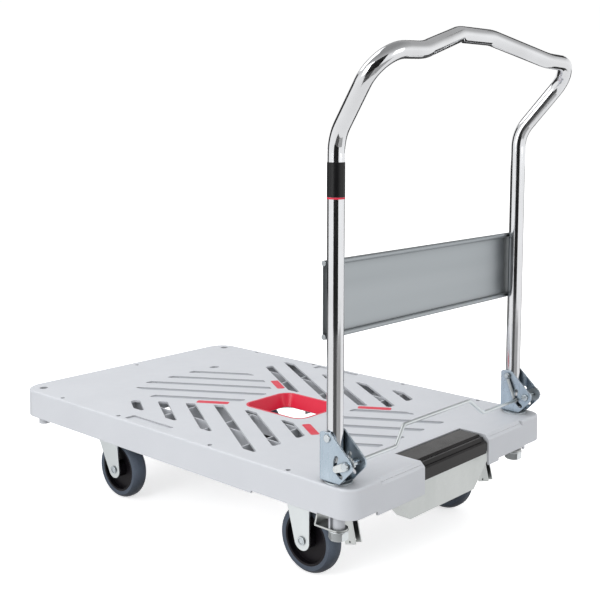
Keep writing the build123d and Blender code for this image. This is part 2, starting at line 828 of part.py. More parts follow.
with BuildPart() as castor_bolts:
    with BuildSketch(level(castor_plate_bottom)):
        with Locations(*castor_bolt_places):
            RegularPolygon(castor_head_af / 2, 6, major_radius=False)
    extrude(amount=-castor_head_h)
    with BuildSketch(level(castor_plate_bottom)):
        with Locations(*castor_bolt_places):
            Circle(castor_bolt_r)
    extrude(amount=castor_plate_t + castor_screw_length)
finish(castor_bolts.part, "castor_bolts")

# ------------------------------------------------------------ handle
half_route = [
    (post_x, post_y, post_bottom),
    (post_x, post_y, lean_start),
    (post_x - lean_x, post_y + shoulder_out, shoulder_z),
    (post_x - lean_x, bar_y, bar_z),
    (post_x - lean_x + bump_x, bump_y, bump_z),
]
route = half_route + [(x, -y, z) for x, y, z in reversed(half_route)]
half_bends = [lean_bend_r, shoulder_bend_r, bar_bend_r, bump_bend_r]

with BuildPart() as handle_tube:
    with BuildLine() as tube_line:
        FilletPolyline(*[spot(*point) for point in route], radius=half_bends + half_bends[::-1])
    with BuildSketch(level(post_bottom)):
        with Locations((post_x, post_y)):
            Circle(tube_r)
    sweep(path=tube_line.wire())
    with BuildSketch(level(post_bottom)):
        with Locations((post_x, post_y), (post_x, -post_y)):
            Circle(tube_r - tube_wall)
    extrude(amount=lean_start - post_bottom - lean_bend_r, mode=Mode.SUBTRACT)
    with BuildSketch(section()):
        with Locations((post_x, pivot_z)):
            Circle(rivet_r + running)
    extrude(amount=post_y + 2 * tube_r, both=True, mode=Mode.SUBTRACT)
finish(handle_tube.part, "handle_tube")

with BuildPart() as post_plugs:
    with BuildSketch(level(post_bottom)):
        with Locations((post_x, post_y), (post_x, -post_y)):
            Circle(tube_r - tube_wall)
    extrude(amount=plug_depth)
finish(post_plugs.part, "post_plugs")

with BuildPart() as post_band:
    with BuildSketch(level(band_bottom)):
        with Locations((post_x, post_y)):
            Circle(tube_r + band_t)
            Circle(tube_r, mode=Mode.SUBTRACT)
    extrude(amount=band_height)
finish(post_band.part, "post_band")

with BuildPart() as band_ring:
    with BuildSketch(level(band_bottom - ring_height)):
        with Locations((post_x, post_y)):
            Circle(tube_r + band_t)
            Circle(tube_r, mode=Mode.SUBTRACT)
    extrude(amount=ring_height)
finish(band_ring.part, "band_ring")

with BuildPart() as handle_panel:
    roll_x = post_x + tube_r + panel_roll_r
    with BuildSketch(section()):
        with Locations((roll_x, panel_bottom + panel_roll_r), (roll_x, panel_top - panel_roll_r)):
            Circle(panel_roll_r)
        with Locations((roll_x + panel_roll_r / 3, (panel_bottom + panel_top) / 2)):
            Rectangle(panel_t, panel_top - panel_bottom - panel_roll_r)
    extrude(amount=panel_half, both=True)
finish(handle_panel.part, "handle_panel")


# ------------------------------------------------------------ hinge brackets
wire_track = CenterArc(
    (latch_x, latch_z), latch_arm, latch_slot_low, latch_slot_high - latch_slot_low)


def make_bracket(side):
    """Hinge bracket: two side plates, a front web and a floor, folded from one sheet."""
    mid_y = side * bracket_mid_y
    inside = outer_plate_y - inner_plate_y - bracket_t
    outside = inside + 2 * bracket_t
    outline = [
        (post_x + bracket_top_dx, pivot_z, bracket_top_r),
        (front_x - bracket_corner_r, pivot_z + bracket_top_r - bracket_corner_r, bracket_corner_r),
        (front_x - bracket_corner_r, disc_top + bracket_corner_r, bracket_corner_r),
        (post_x - bracket_back, disc_top + bracket_foot_r, bracket_foot_r),
        (latch_x, latch_z, latch_r)]
    with BuildPart() as bracket:
        with BuildSketch(section(mid_y)):
            for x, z, radius in outline:
                with Locations((x, z)):
                    Circle(radius)
            make_hull()
        extrude(amount=outside / 2, both=True)
        # folds: rounded along the foot and along the front
        with BuildSketch(crosswise(front_x)) as foot_fold:
            with Locations((mid_y, disc_top)):
                Rectangle(outside, 2 * pivot_z, align=(Align.CENTER, Align.MIN))
            fillet(foot_fold.vertices().group_by(Axis.Y)[0], radius=bracket_fold_r)
        extrude(amount=-4 * latch_arm, mode=Mode.INTERSECT)
        with BuildSketch(level(disc_top)) as front_fold:
            with Locations((front_x, mid_y)):
                Rectangle(4 * latch_arm, outside, align=(Align.MAX, Align.CENTER))
            fillet(front_fold.vertices().group_by(Axis.X)[-1], radius=bracket_fold_r)
        extrude(amount=2 * pivot_z, mode=Mode.INTERSECT)
        # the space between the plates, open towards the handle end and upwards
        with BuildSketch(section(mid_y)):
            with BuildLine():
                Polyline(
                    (web_x, bracket_floor), (web_x, web_top), (web_x + 3 * bracket_t, web_top),
                    (web_x + 3 * bracket_t, 2 * pivot_z), (latch_x - 2 * latch_r, 2 * pivot_z),
                    (latch_x - 2 * latch_r, bracket_floor), close=True)
            make_face()
        extrude(amount=inside / 2, both=True, mode=Mode.SUBTRACT)
        with BuildSketch(section(mid_y)):
            with Locations((post_x, pivot_z), (latch_x, latch_z)):
                Circle(rivet_r)
            SlotArc(wire_track, wire_slot)
        extrude(amount=inside, both=True, mode=Mode.SUBTRACT)
        with BuildSketch(level(disc_top)):
            with Locations((bolt_x, side * bolt_y)):
                Circle(hinge_bolt_r)
        extrude(amount=bracket_t, mode=Mode.SUBTRACT)
    return bracket.part


def make_disc(side):
    """Base disc, let into the deck, that spreads the bracket's load."""
    with BuildPart() as disc:
        with BuildSketch(level(-disc_seat)):
            with Locations((bolt_x, side * bolt_y)):
                Circle(disc_r)
                Circle(hinge_bolt_r, mode=Mode.SUBTRACT)
        extrude(amount=disc_t)
    return disc.part


def make_hinge_bolt(side):
    """Bolt that clamps bracket, disc, deck boss and tie plate together."""
    place = (bolt_x, side * bolt_y)
    grip = bracket_floor + boss_depth + tie_t + washer_t + hinge_nut_h
    with BuildPart() as bolt:
        with BuildSketch(level(bracket_floor)):
            with Locations(place):
                RegularPolygon(hinge_bolt_af / 2, 6, major_radius=False)
        extrude(amount=hinge_bolt_head_h)
        chamfer(bolt.edges().group_by(Axis.Z)[-1], length=edge_break)
        with BuildSketch(level(bracket_floor)):
            with Locations(place):
                Circle(hinge_bolt_r)
        extrude(amount=-grip - hinge_bolt_end)
    return bolt.part


def make_hinge_nut(side):
    """Washer and hex nut under the tie plate."""
    place = (bolt_x, side * bolt_y)
    seat = -boss_depth - tie_t
    with BuildPart() as nut:
        with BuildSketch(level(seat)):
            with Locations(place):
                Circle(washer_r)
        extrude(amount=-washer_t)
        with BuildSketch(level(seat - washer_t)):
            with Locations(place):
                RegularPolygon(hinge_nut_af / 2, 6, major_radius=False)
        extrude(amount=-hinge_nut_h)
        chamfer(nut.edges().group_by(Axis.Z)[0], length=edge_break)
        with BuildSketch(level(seat)):
            with Locations(place):
                Circle(hinge_bolt_r)
        extrude(amount=-washer_t - hinge_nut_h, mode=Mode.SUBTRACT)
    return nut.part


def make_tie_plate(side):
    """Stepped plate that ties the hinge bolt to the deck's underside, with a tapered riser."""
    y = side * bolt_y
    riser_x = bolt_x + tie_forward
    half_riser = [
        (tie_half, -boss_depth - tie_t), (tie_half, -boss_depth),
        (tie_top_half, -deck_depth - tie_t), (tie_top_half, -deck_depth)]
    with BuildPart() as tie:
        with BuildSketch(level(-boss_depth)):
            with Locations((bolt_x, y)):
                Circle(tie_half)
                Rectangle(tie_forward, 2 * tie_half, align=(Align.MIN, Align.CENTER))
        extrude(amount=-tie_t)
        with BuildSketch(crosswise(riser_x)):
            with BuildLine():
                left_edge = [(y + out, z) for out, z in half_riser]
                right_edge = [(y - out, z) for out, z in reversed(half_riser)]
                Polyline(*left_edge, *right_edge, close=True)
            make_face()
        extrude(amount=-tie_t)
        with BuildSketch(level(-deck_depth)):
            with Locations((riser_x - tie_t, y)):
                Rectangle(tie_t + tie_flange, 2 * tie_top_half, align=(Align.MIN, Align.CENTER))
        extrude(amount=-tie_t)
        with BuildSketch(level(-deck_depth)):
            with Locations((bolt_x, y)):
                Circle(hinge_bolt_r)
            with Locations((tie_screw_place, y)):
                Circle(screw_r)
        extrude(amount=deck_depth - boss_depth - tie_t, mode=Mode.SUBTRACT)
    return tie.part


def rivet_along_y(x, z, y_from, y_to, heads):
    """Rivet lying along Y; heads lists the y of each head's seat and its direction."""
    with BuildPart() as rivet:
        with BuildSketch(section(y_from)):
            with Locations((x, z)):
                Circle(rivet_r)
        extrude(amount=y_from - y_to)
        for seat, way in heads:
            with BuildSketch(section(seat)):
                with Locations((x, z)):
                    Circle(rivet_head_r)
            extrude(amount=-way * rivet_head_h, taper=rivet_head_taper)
    return rivet.part


outer_face_y = outer_plate_y + bracket_t
link_y = outer_face_y + clearance
link_seat_y = link_y + link_t + clearance
spring_y = inner_plate_y - 1 - spring_r
spring_hook_y = spring_y - spring_r

for side_name, side in sides.items():
    finish(make_bracket(side), f"hinge_bracket_{side_name}")
    finish(make_disc(side), f"base_disc_{side_name}")
    finish(make_hinge_bolt(side), f"hinge_bolt_{side_name}")
    finish(make_hinge_nut(side), f"hinge_nut_{side_name}")
    finish(make_tie_plate(side), f"tie_plate_{side_name}")
    pivot_rivet = rivet_along_y(
        post_x, pivot_z, side * spring_hook_y, side * outer_face_y, [(side * outer_face_y, side)])
    finish(pivot_rivet, f"pivot_rivet_{side_name}")
    latch_rivet = rivet_along_y(
        latch_x, latch_z, side * inner_plate_y, side * link_seat_y,
        [(side * link_seat_y, side), (side * inner_plate_y, -side)])
    finish(latch_rivet, f"latch_rivet_{side_name}")

# ------------------------------------------------------------ release wire, cams, links, springs
wire_end_y = link_y + link_t
wire_half = [
    (wire_x, wire_end_y, wire_z),
    (wire_x, wire_inner_y, wire_z),
    (wire_x + wire_rise_dx, wire_rise_y, wire_rise_z),
]
wire_route = wire_half + [(x, -y, z) for x, y, z in reversed(wire_half)]

with BuildPart() as release_wire:
    with BuildLine() as wire_line:
        FilletPolyline(*[spot(*point) for point in wire_route], radius=wire_bend_r)
    with BuildSketch(section(wire_end_y)):
        with Locations((wire_x, wire_z)):
            Circle(wire_r)
    sweep(path=wire_line.wire())
finish(release_wire.part, "release_wire")

cam_y = post_y + tube_r + running_gap
cam_root_r = cam_r - cam_tooth_h
cam_fan = cam_teeth * cam_tooth_pitch
latch_centre = Vector(latch_x, latch_z)

with BuildPart() as latch_plates:
    for side in (1, -1):
        # toothed cam between the post and the bracket's outer plate
        with BuildSketch(section(side * (cam_y + cam_t / 2))):
            with Locations(latch_centre):
                Circle(cam_hub_r)
            with Locations((wire_x, wire_z)):
                Circle(wire_r + cam_rim)
            make_hull()
            with BuildLine():
                CenterArc(latch_centre, cam_root_r, cam_start, cam_fan)
                Line(latch_centre, latch_centre + Vector(cam_root_r, 0).rotate(Axis.Z, cam_start))
                Line(latch_centre,
                     latch_centre + Vector(cam_root_r, 0).rotate(Axis.Z, cam_start + cam_fan))
            make_face()
            with Locations(latch_centre):
                with PolarLocations(
                        cam_root_r, cam_teeth, start_angle=cam_start + cam_tooth_pitch / 2,
                        angular_range=cam_fan - cam_tooth_pitch, endpoint=True):
                    Rectangle(2 * cam_tooth_h, cam_tooth_h)
                Circle(rivet_r + running, mode=Mode.SUBTRACT)
            with Locations((wire_x, wire_z)):
                Circle(wire_r, mode=Mode.SUBTRACT)
        extrude(amount=cam_t / 2, both=True)
        # link on the bracket's outer face
        with BuildSketch(section(side * (link_y + link_t / 2))):
            with Locations(latch_centre):
                Circle(rivet_head_r)
            with Locations((wire_x, wire_z)):
                Circle(wire_r + link_rim)
            make_hull()
            with Locations(latch_centre):
                Circle(rivet_r + running, mode=Mode.SUBTRACT)
            with Locations((wire_x, wire_z)):
                Circle(wire_r, mode=Mode.SUBTRACT)
        extrude(amount=link_t / 2, both=True)
finish(latch_plates.part, "latch_plates")


def make_latch_spring(side):
    """Close-wound tension spring from the handle rivet to the wire, with an eye at each end."""
    top = Vector(*spot(post_x, side * spring_y, pivot_z))
    low = Vector(*spot(wire_x, side * spring_y, wire_z))
    down = (low - top).normalized()
    body_top = rivet_r + running + spring_ring_t - spring_sink
    body_low = (low - top).length - wire_r - running - spring_ring_t + spring_sink
    turn_h = (body_low - body_top) / spring_turns
    with BuildPart() as spring:
        with BuildSketch(Plane(top, x_dir=down, z_dir=(0, -1, 0))):
            with BuildLine():
                outline = [(body_top, 0), (body_top, spring_r)]
                for number in range(1, spring_turns):
                    groove_x = body_top + number * turn_h
                    outline += [(groove_x - turn_h / 4, spring_r),
                                (groove_x, spring_r * spring_groove),
                                (groove_x + turn_h / 4, spring_r)]
                outline += [(body_low, spring_r), (body_low, 0)]
                Polyline(*outline, close=True)
            make_face()
        revolve(axis=Axis(top, down))
        for centre, bore in ((top, rivet_r + running), (low, wire_r + running)):
            with BuildSketch(Plane(centre, x_dir=down, z_dir=(0, -1, 0))):
                Circle(bore + spring_ring_t)
                Circle(bore, mode=Mode.SUBTRACT)
            extrude(amount=spring_ring_t / 2, both=True)
    return spring.part


for side_name, side in sides.items():
    finish(make_latch_spring(side), f"latch_spring_{side_name}")

# ------------------------------------------------------------ pedal, brake bar and shoes
pedal_nose = pedal_room[0] - end_x
pedal_back = bay_depth - pedal_room[1] - end_x
pedal_top = [(pedal_nose + run, -fall) for run, fall in pedal_steps]
pedal_outline = [(pedal_back, -pedal_top_gap), *pedal_top, (pedal_nose, -pedal_drop),
                 (pedal_back, -pedal_back_share * pedal_drop)]
hollow_top = [(x + shift, z - pedal_t) for (x, z), shift in
              ((pedal_top[0], -pedal_t), (pedal_top[1], -pedal_t / 2), (pedal_top[-1], pedal_t))]
pedal_hollow = [(pedal_back - pedal_t, -pedal_top_gap - pedal_t), *hollow_top,
                (pedal_nose + pedal_t, -2 * pedal_drop), (pedal_back - pedal_t, -2 * pedal_drop)]

with BuildPart() as pedal:
    with BuildSketch(section()):
        with BuildLine():
            Polyline(*pedal_outline, close=True)
        make_face()
    extrude(amount=pedal_half, both=True)
    fillet(pedal.edges().filter_by(Axis.Y).group_by(Axis.Z)[-1].sort_by(Axis.X)[0], radius=pedal_edge_r)
    with BuildSketch(section()):
        with BuildLine():
            Polyline(*pedal_hollow, close=True)
        make_face()
    extrude(amount=pedal_half - pedal_t, both=True, mode=Mode.SUBTRACT)
    for across in (1, -1):
        with BuildSketch(section(across * arm_y)):
            with Locations((bar_x, bar_zc)):
                Circle(arm_ring_r)
            with Locations((arm_seat_inset - end_x, -pedal_top_gap - pedal_t / 2)):
                Rectangle(*arm_seat, align=(Align.CENTER, Align.MAX))
            make_hull()
            with Locations((bar_x, bar_zc)):
                Circle(bar_r, mode=Mode.SUBTRACT)
        extrude(amount=arm_t / 2, both=True)
finish(pedal.part, "pedal")

with BuildPart() as brake_bar:
    with BuildSketch(section()):
        with Locations((bar_x, bar_zc)):
            Circle(bar_r)
    extrude(amount=bar_half, both=True)
    chamfer(brake_bar.edges().filter_by(GeomType.CIRCLE), length=edge_break)
finish(brake_bar.part, "brake_bar")


def make_shoe(side):
    """Brake shoe: a leaning channel, its web towards the tyre, on the brake bar."""
    y = side * wheel_y
    lean = radians(shoe_lean)
    upright = Plane(spot(bar_x, y, bar_zc), x_dir=(cos(lean), 0, -sin(lean)), z_dir=(0, -1, 0))
    hole_u, hole_v = shoe_hole_place
    web_low = shoe_front - shoe_t
    web_high = shoe_ring_r - shoe_t
    beyond = 3 * shoe_ring_r
    with BuildPart() as shoe:
        with BuildSketch(upright):
            Circle(shoe_ring_r)
            with Locations((-shoe_back, -shoe_reach)):
                Rectangle(shoe_back + shoe_front, shoe_foot, align=(Align.MIN, Align.MIN))
            make_hull()
        extrude(amount=shoe_half, both=True)
        with BuildSketch(upright):
            with BuildLine():
                Polyline(
                    (web_high, beyond), (web_high, 0), (web_low, shoe_foot - shoe_reach),
                    (web_low, -shoe_reach - shoe_foot), (-beyond, -shoe_reach - shoe_foot),
                    (-beyond, beyond), close=True)
            make_face()
        extrude(amount=shoe_half - shoe_t, both=True, mode=Mode.SUBTRACT)
        with BuildSketch(upright):
            Circle(bar_r)
            with Locations((hole_u, hole_v - shoe_reach)):
                Circle(shoe_hole_r)
        extrude(amount=shoe_half, both=True, mode=Mode.SUBTRACT)
    return shoe.part


for side_name, side in sides.items():
    finish(make_shoe(side), f"brake_shoe_{side_name}")


def make_bar_bearing(side):
    """Bearing block that carries the brake bar under the deck."""
    length, width, height = bearing_block
    with BuildPart() as block:
        with BuildSketch(level(-bearing_pad_depth)):
            with Locations((bar_x, side * bearing_y)):
                Rectangle(length, width)
        extrude(amount=-height)
        fillet(block.edges().filter_by(Axis.Y).group_by(Axis.Z)[0], radius=bearing_corner_r)
        with BuildSketch(section(side * bearing_y)):
            with Locations((bar_x, bar_zc)):
                Circle(bar_r + running)
        extrude(amount=width, both=True, mode=Mode.SUBTRACT)
    return block.part


for side_name, side in sides.items():
    finish(make_bar_bearing(side), f"bar_bearing_{side_name}")

with BuildPart() as pedal_housing:
    with BuildSketch(crosswise(housing_x)):
        with BuildLine():
            half = [
                (housing_neck_half, -housing_top), (housing_neck_half, -housing_notch),
                (bay_half - bay_room, -housing_notch), (bay_half - bay_room, -bearing_pad_depth),
                (housing_shoulder_half, -bearing_pad_depth), (housing_wide_half, -deck_depth),
                (housing_foot_half, -housing_bottom)]
            Polyline(*half, *[(-y, z) for y, z in reversed(half)], close=True)
        make_face()
        with Locations((arm_y, -housing_top), (-arm_y, -housing_top)):
            Rectangle(arm_t + arm_room, 2 * arm_notch, mode=Mode.SUBTRACT)
    extrude(amount=housing_t)
    # foot flange and the two slanted side flanges, folded towards the far end
    with BuildSketch(crosswise(housing_x)):
        with BuildLine():
            Polyline(
                (housing_wide_half, -deck_depth), (housing_foot_half, -housing_bottom),
                (-housing_foot_half, -housing_bottom), (-housing_wide_half, -deck_depth),
                (-housing_wide_half + housing_side_top, -deck_depth),
                (-housing_foot_half + housing_side_foot, -housing_bottom + housing_t),
                (housing_foot_half - housing_side_foot, -housing_bottom + housing_t),
                (housing_wide_half - housing_side_top, -deck_depth), close=True)
        make_face()
    extrude(amount=housing_flange)
    # mounting ears screwed to the deck's bosses
    with BuildSketch(level(-bearing_pad_depth)):
        for across in (1, -1):
            with Locations((housing_x, across * housing_ear_y)):
                Rectangle(housing_flange, housing_ear_width, align=(Align.MIN, Align.CENTER))
    extrude(amount=-housing_t)
    with BuildSketch(level(-bearing_pad_depth)):
        with Locations(*ear_places):
            Circle(screw_r)
    extrude(amount=-housing_t, mode=Mode.SUBTRACT)
finish(pedal_housing.part, "pedal_housing")

with BuildPart() as underside_screws:
    for places, seat, grip in (
            (tie_boss_places, -deck_depth - tie_t, tie_t),
            (ear_places, -bearing_pad_depth - housing_t, housing_t)):
        with BuildSketch(level(seat)):
            with Locations(*places):
                Circle(screw_head_r)
        extrude(amount=-screw_head_h)
        with BuildSketch(level(seat)):
            with Locations(*places):
                Circle(screw_r)
        extrude(amount=grip)
finish(underside_screws.part, "underside_screws")
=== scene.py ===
import json
import math

import bpy
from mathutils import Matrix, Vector


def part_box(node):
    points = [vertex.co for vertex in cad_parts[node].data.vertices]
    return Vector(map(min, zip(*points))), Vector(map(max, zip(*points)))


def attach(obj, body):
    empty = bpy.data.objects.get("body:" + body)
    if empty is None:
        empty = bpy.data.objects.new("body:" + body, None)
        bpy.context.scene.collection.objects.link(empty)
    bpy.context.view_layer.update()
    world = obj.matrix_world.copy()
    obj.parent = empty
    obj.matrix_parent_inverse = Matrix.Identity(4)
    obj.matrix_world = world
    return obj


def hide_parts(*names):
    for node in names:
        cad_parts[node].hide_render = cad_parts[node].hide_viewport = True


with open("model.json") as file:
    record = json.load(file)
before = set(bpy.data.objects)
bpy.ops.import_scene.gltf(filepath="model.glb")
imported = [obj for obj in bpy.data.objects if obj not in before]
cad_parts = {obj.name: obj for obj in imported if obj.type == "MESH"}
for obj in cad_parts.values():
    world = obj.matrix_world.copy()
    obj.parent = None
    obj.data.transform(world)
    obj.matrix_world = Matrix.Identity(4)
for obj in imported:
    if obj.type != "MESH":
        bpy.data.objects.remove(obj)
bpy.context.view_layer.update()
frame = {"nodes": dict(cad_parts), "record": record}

# ------------------------------------------------------------ places read from the frame
deck_low, deck_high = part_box("deck")
deck_shift = (deck_low.x + deck_high.x) / 2
deck_top = deck_high.z

# ------------------------------------------------------------ camera
CAMERA_FROM_DECK = Vector((-1.4530, 1.4823, 0.5813))
CAMERA_YAW = -0.82547
CAMERA_PITCH = -0.113176
CAMERA_LENS = 60.758
CAMERA_SHIFT_Y = -0.1068
CAMERA_SENSOR = 36
CAMERA_CLIP = (0.05, 60)

# ------------------------------------------------------------ floor, surroundings and lights
WORLD_LIGHT = 1.02          # behind the cart, as the camera sees it
AMBIENT_LIGHT = 0.8         # what the surroundings throw on the cart
FLOOR_SIZE = 40
FLOOR_LIFT = 0.62           # glow that only the camera sees
FLOOR_TONE = 0.94
FLOOR_BOUNCE_TONE = 0.55    # the floor's tone for light that bounces
MATT_ROUGHNESS = 0.9        # of the floor and the flags
# (height of the direction from 0 down to 1 up, strength) of what glossy surfaces mirror
MIRRORED_LIGHT = ((0.0, 0.85), (0.44, 0.95), (0.52, 1.0), (0.62, 0.88), (0.74, 0.5), (0.95, 0.3))
# name, place, target, size, power
SOFTBOXES = (
    ("key_light", (-0.2, 3.6, 1.7), (0, 0, 0.2), (2.2, 2.0), 46),
    ("far_top_light", (1.4, 0.6, 2.6), (0.3, 0, 0.2), (2.0, 2.0), 19),
    ("end_fill", (-3.6, -0.8, 1.4), (-0.4, 0, 0.3), (1.6, 1.6), 10))
# name, radius, azimuth from and to in degrees, height from and to, tone
FLAGS = (
    ("front_flag", 2.6, 106, 160, 0.0, 1.9, 0.004),
    ("rear_flag", 2.6, -14, 30, 0.0, 1.9, 0.02),
    ("front_flag_low", 2.6, 110, 148, -1.5, 0.0, 0.14),
    ("side_flag_low", 2.6, 148, 196, -1.5, 0.0, 0.62),
    ("rear_flag_low", 2.6, -14, 30, -1.5, 0.0, 0.3),
    ("back_flag_low", 2.7, -105, -14, -1.0, 0.6, 0.03),
    ("back_flag_high", 2.7, -105, -14, 1.8, 2.6, 0.03))
FLAG_STEPS = 12


def make_camera():
    """Camera at the photograph's angle, given from the middle of the deck's top face."""
    data = bpy.data.cameras.new("camera")
    data.sensor_width = CAMERA_SENSOR
    data.lens = CAMERA_LENS
    data.shift_y = CAMERA_SHIFT_Y
    data.clip_start, data.clip_end = CAMERA_CLIP
    camera = bpy.data.objects.new("camera", data)
    camera.location = Vector((deck_shift, 0, deck_top)) + CAMERA_FROM_DECK
    look = Vector((
        math.cos(CAMERA_YAW) * math.cos(CAMERA_PITCH),
        math.sin(CAMERA_YAW) * math.cos(CAMERA_PITCH),
        math.sin(CAMERA_PITCH)))
    camera.rotation_mode = "QUATERNION"
    camera.rotation_quaternion = look.to_track_quat("-Z", "Y")
    bpy.context.scene.collection.objects.link(camera)
    bpy.context.scene.camera = camera


def light_path_value(tree, flag, usual, flagged):
    """Value that changes for one kind of ray."""
    path = tree.nodes.new("ShaderNodeLightPath")
    blend = tree.nodes.new("ShaderNodeMath")
    blend.operation = "MULTIPLY_ADD"
    blend.inputs[1].default_value = flagged - usual
    blend.inputs[2].default_value = usual
    tree.links.new(path.outputs[flag], blend.inputs[0])
    return blend.outputs["Value"]


def make_floor():
    """Wide pale floor, which throws less light back up than it shows."""
    bpy.ops.mesh.primitive_plane_add(size=FLOOR_SIZE, location=(0, 0, 0))
    floor = bpy.context.object
    floor.name = "floor"
    material = bpy.data.materials.new("floor_white")
    material.use_nodes = True
    tree = material.node_tree
    shader = tree.nodes["Principled BSDF"]
    shader.inputs["Roughness"].default_value = MATT_ROUGHNESS
    shader.inputs["Specular IOR Level"].default_value = 0.0
    shader.inputs["Emission Color"].default_value = (1, 1, 1, 1)
    tone = light_path_value(tree, "Is Camera Ray", FLOOR_BOUNCE_TONE, FLOOR_TONE)
    tree.links.new(tone, shader.inputs["Base Color"])
    lift = light_path_value(tree, "Is Camera Ray", 0.0, FLOOR_LIFT)
    tree.links.new(lift, shader.inputs["Emission Strength"])
    floor.data.materials.append(material)
    floor.visible_glossy = False


def make_world():
    """White surroundings; what bright metal mirrors of them darkens towards the ceiling."""
    world = bpy.data.worlds.new("studio")
    world.use_nodes = True
    tree = world.node_tree
    background = tree.nodes["Background"]
    coordinates = tree.nodes.new("ShaderNodeTexCoord")
    axes = tree.nodes.new("ShaderNodeSeparateXYZ")
    tree.links.new(coordinates.outputs["Generated"], axes.inputs["Vector"])
    height = tree.nodes.new("ShaderNodeMapRange")
    height.inputs["From Min"].default_value = -1
    tree.links.new(axes.outputs["Z"], height.inputs["Value"])
    sky = tree.nodes.new("ShaderNodeValToRGB")
    elements = sky.color_ramp.elements
    while len(elements) < len(MIRRORED_LIGHT):
        elements.new(0.5)
    for element, (place, tone) in zip(elements, MIRRORED_LIGHT):
        element.position = place
        element.color = (tone, tone, tone, 1)
    tree.links.new(height.outputs["Result"], sky.inputs["Fac"])
    path = tree.nodes.new("ShaderNodeLightPath")
    blend = tree.nodes.new("ShaderNodeMix")
    tree.links.new(path.outputs["Is Glossy Ray"], blend.inputs["Factor"])
    usual = light_path_value(tree, "Is Camera Ray", AMBIENT_LIGHT, WORLD_LIGHT)
    tree.links.new(usual, blend.inputs["A"])
    tree.links.new(sky.outputs["Color"], blend.inputs["B"])
    tree.links.new(blend.outputs["Result"], background.inputs["Strength"])
    background.inputs["Color"].default_value = (1.0, 1.0, 1.0, 1)
    bpy.context.scene.world = world
    bpy.context.scene.view_settings.view_transform = "Standard"
    bpy.context.scene.view_settings.look = "None"


def add_softbox(name, place, target, size, power):
    """Square area light that faces a target."""
    data = bpy.data.lights.new(name, "AREA")
    data.shape = "RECTANGLE"
    data.size, data.size_y = size
    data.energy = power
    light = bpy.data.objects.new(name, data)
    light.location = place
    light.rotation_mode = "QUATERNION"
    light.rotation_quaternion = (Vector(target) - Vector(place)).to_track_quat("-Z", "Y")
    bpy.context.scene.collection.objects.link(light)


def add_flag(name, radius, from_azimuth, to_azimuth, low, high, tone):
    """Dark curved flag that only glossy surfaces mirror: no shadow, and out of view."""
    points, faces = [], []
    for number in range(FLAG_STEPS + 1):
        angle = math.radians(from_azimuth + (to_azimuth - from_azimuth) * number / FLAG_STEPS)
        for height in (low, high):
            points.append((radius * math.cos(angle), radius * math.sin(angle), height))
    for number in range(FLAG_STEPS):
        first = 2 * number
        faces.append((first, first + 1, first + 3, first + 2))
    mesh = bpy.data.meshes.new(name)
    mesh.from_pydata(points, [], faces)
    flag = bpy.data.objects.new(name, mesh)
    bpy.context.scene.collection.objects.link(flag)
    material = bpy.data.materials.new(name)
    material.use_nodes = True
    shader = material.node_tree.nodes["Principled BSDF"]
    shader.inputs["Base Color"].default_value = (tone, tone, tone, 1)
    shader.inputs["Roughness"].default_value = MATT_ROUGHNESS
    mesh.materials.append(material)
    flag.visible_camera = False
    flag.visible_diffuse = False
    flag.visible_shadow = False
    flag.visible_transmission = False


# ------------------------------------------------------------ materials
COVER_SAMPLES = 8
BEVEL_SAMPLES = 4
EDGE_MATCH = (0.88, 0.985)      # rounded normal against the face's own: full painted edge highlight, none
FLAT_UP = 0.9995                # upward part of the normal on a level face
CORNER_SHADE = (0.3, 0.95)      # openness of a dark corner, and of an open face
# (reach, darkest, start, end) of the painted shade in the deck's grooves and in its hollow
# underside
DECK_HOLLOW_SHADES = ((0.009, 0.84, 0.5, 0.95), (0.10, 0.48, 0.2, 0.75))
# (lowest height, highest height, tone) of the painted shade on the deck's groove floors
DECK_GROOVE_SHADE = (deck_top - 0.0022, deck_top - 0.0018, (0.66, 0.67, 0.69))
# tone of the painted highlight on the edges of plated metal
BRIGHT_EDGE = (0.92, 0.95, 0.97)


def new_material(name, color, roughness, metallic=0.0):
    """Material with its shader, ready for more nodes."""
    material = bpy.data.materials.new(name)
    material.use_nodes = True
    shader = material.node_tree.nodes["Principled BSDF"]
    shader.inputs["Base Color"].default_value = (*color, 1)
    shader.inputs["Roughness"].default_value = roughness
    shader.inputs["Metallic"].default_value = metallic
    return material, shader


def noise(tree, scale, detail=3.0, stretch=(1, 1, 1)):
    """Noise over the object's own coordinates; stretch squeezes it along an axis."""
    coordinates = tree.nodes.new("ShaderNodeTexCoord")
    mapping = tree.nodes.new("ShaderNodeMapping")
    mapping.inputs["Scale"].default_value = stretch
    texture = tree.nodes.new("ShaderNodeTexNoise")
    texture.inputs["Scale"].default_value = scale
    texture.inputs["Detail"].default_value = detail
    tree.links.new(coordinates.outputs["Object"], mapping.inputs["Vector"])
    tree.links.new(mapping.outputs["Vector"], texture.inputs["Vector"])
    return texture.outputs["Fac"]


def ramp(tree, source, low, high, start=0.3, end=0.7):
    """Colour ramp between two grey values or two colours."""
    node = tree.nodes.new("ShaderNodeValToRGB")
    for element, value, place in zip(node.color_ramp.elements, (low, high), (start, end)):
        if isinstance(value, (int, float)):
            value = (value, value, value)
        element.color = (*value, 1)
        element.position = place
    tree.links.new(source, node.inputs["Fac"])
    return node.outputs["Color"]


def bump(tree, shader, height, strength, distance, rounded=None):
    """Bump on a shader's normal, over rounded edges where they are given."""
    node = tree.nodes.new("ShaderNodeBump")
    node.inputs["Strength"].default_value = strength
    node.inputs["Distance"].default_value = distance
    tree.links.new(height, node.inputs["Height"])
    if rounded:
        tree.links.new(rounded, node.inputs["Normal"])
    tree.links.new(node.outputs["Normal"], shader.inputs["Normal"])


